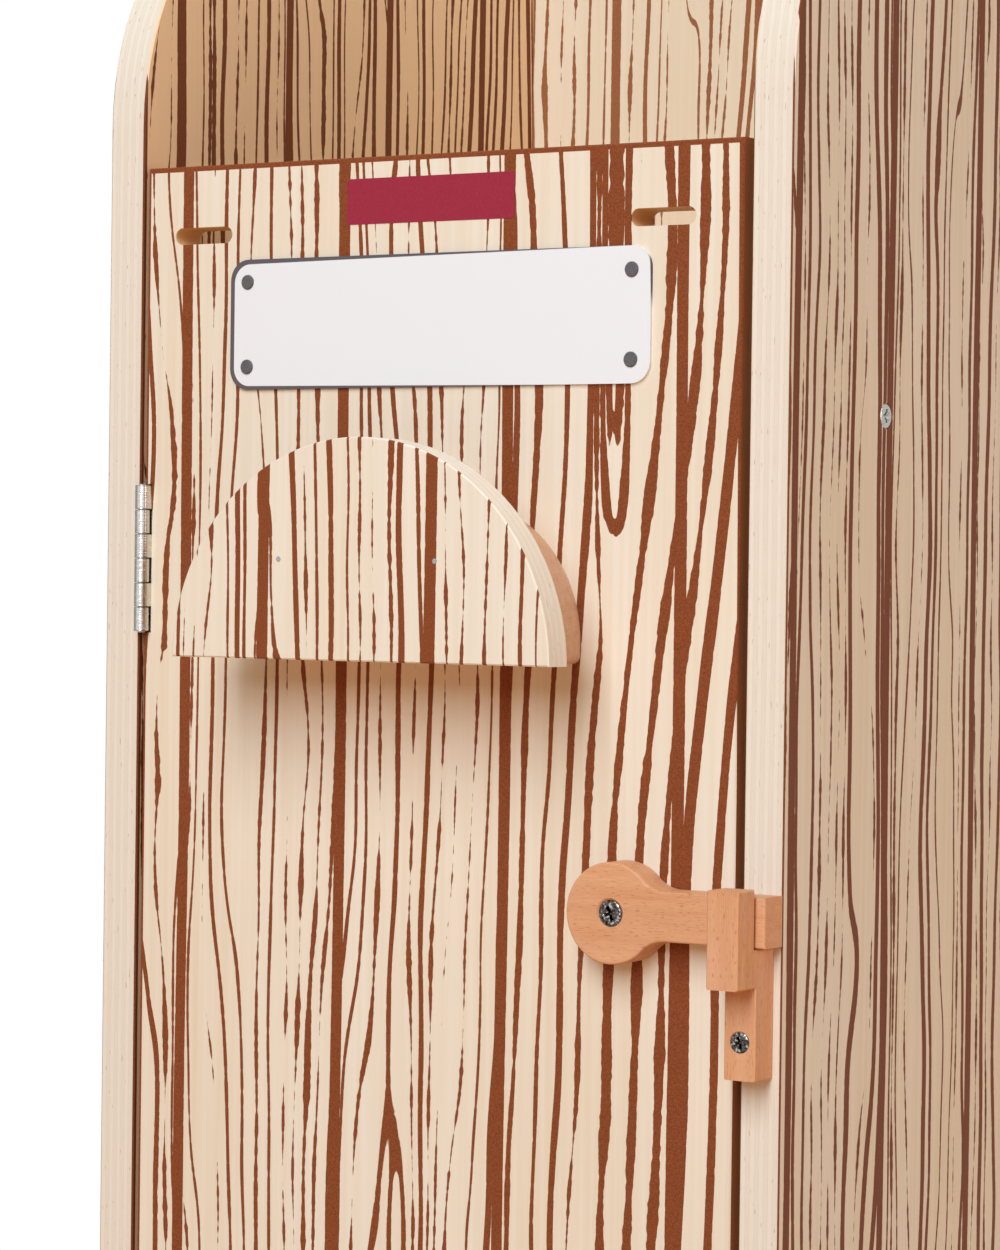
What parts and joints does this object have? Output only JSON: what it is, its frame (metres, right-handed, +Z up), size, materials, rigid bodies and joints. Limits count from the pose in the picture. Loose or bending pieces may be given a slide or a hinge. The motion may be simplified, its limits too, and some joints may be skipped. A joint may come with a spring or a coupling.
{
  "type": "hobby horse stable",
  "caption": "Tall open-topped plywood box stable for hobby horses, with a hinged door, a turning latch in its hook, a half-round saddle rack and a slotted pole shelf.",
  "frame": {"origin": "middle of the box's base, on the floor", "axes": "+Z up, +Y from the door towards the back panel, +X from the hinge side to the latch side"},
  "size_m": [0.28, 0.324, 0.75],
  "materials": {
    "printed_plywood": "satin, printed with brown wood-grain lines",
    "beech": "waxed",
    "white_plate": "smooth",
    "dark_pins": "satin",
    "plated_steel": "zinc plated"
  },
  "bodies": {
    "frame": {"left_side_panel": "printed_plywood", "right_side_panel": "printed_plywood", "back_panel": "printed_plywood", "floor_panel": "printed_plywood", "pole_shelf": "printed_plywood", "left_panel_screws": "plated_steel", "right_panel_screws": "plated_steel", "latch_keeper": "beech", "keeper_screw": "plated_steel", "upper_hinge_frame_leaf": "plated_steel", "lower_hinge_frame_leaf": "plated_steel", "upper_hinge_pin": "plated_steel", "lower_hinge_pin": "plated_steel", "hinge_frame_screws": "plated_steel"},
    "door": {"door_panel": "printed_plywood", "name_plate": "white_plate", "name_plate_pins": "dark_pins", "rack_block": "beech", "rack_front_plate": "printed_plywood", "rack_brads": "plated_steel", "rack_screws": "plated_steel", "upper_hinge_door_leaf": "plated_steel", "lower_hinge_door_leaf": "plated_steel", "hinge_door_screws": "plated_steel", "latch_pivot_screw": "plated_steel"},
    "latch": {"latch_arm": "beech"}
  },
  "joints": [
    {"name": "door_hinge", "type": "hinge", "parent": "frame", "child": "door", "pos_m": [-0.1223, -0.1422, 0.326], "axis": [0, 0, -1], "range_deg": [0, 180]},
    {"name": "latch_turn", "type": "hinge", "parent": "door", "child": "latch", "pos_m": [0.0817, -0.1464, 0.3776], "axis": [0, -1, 0], "range_deg": [0, 305]}
  ]
}
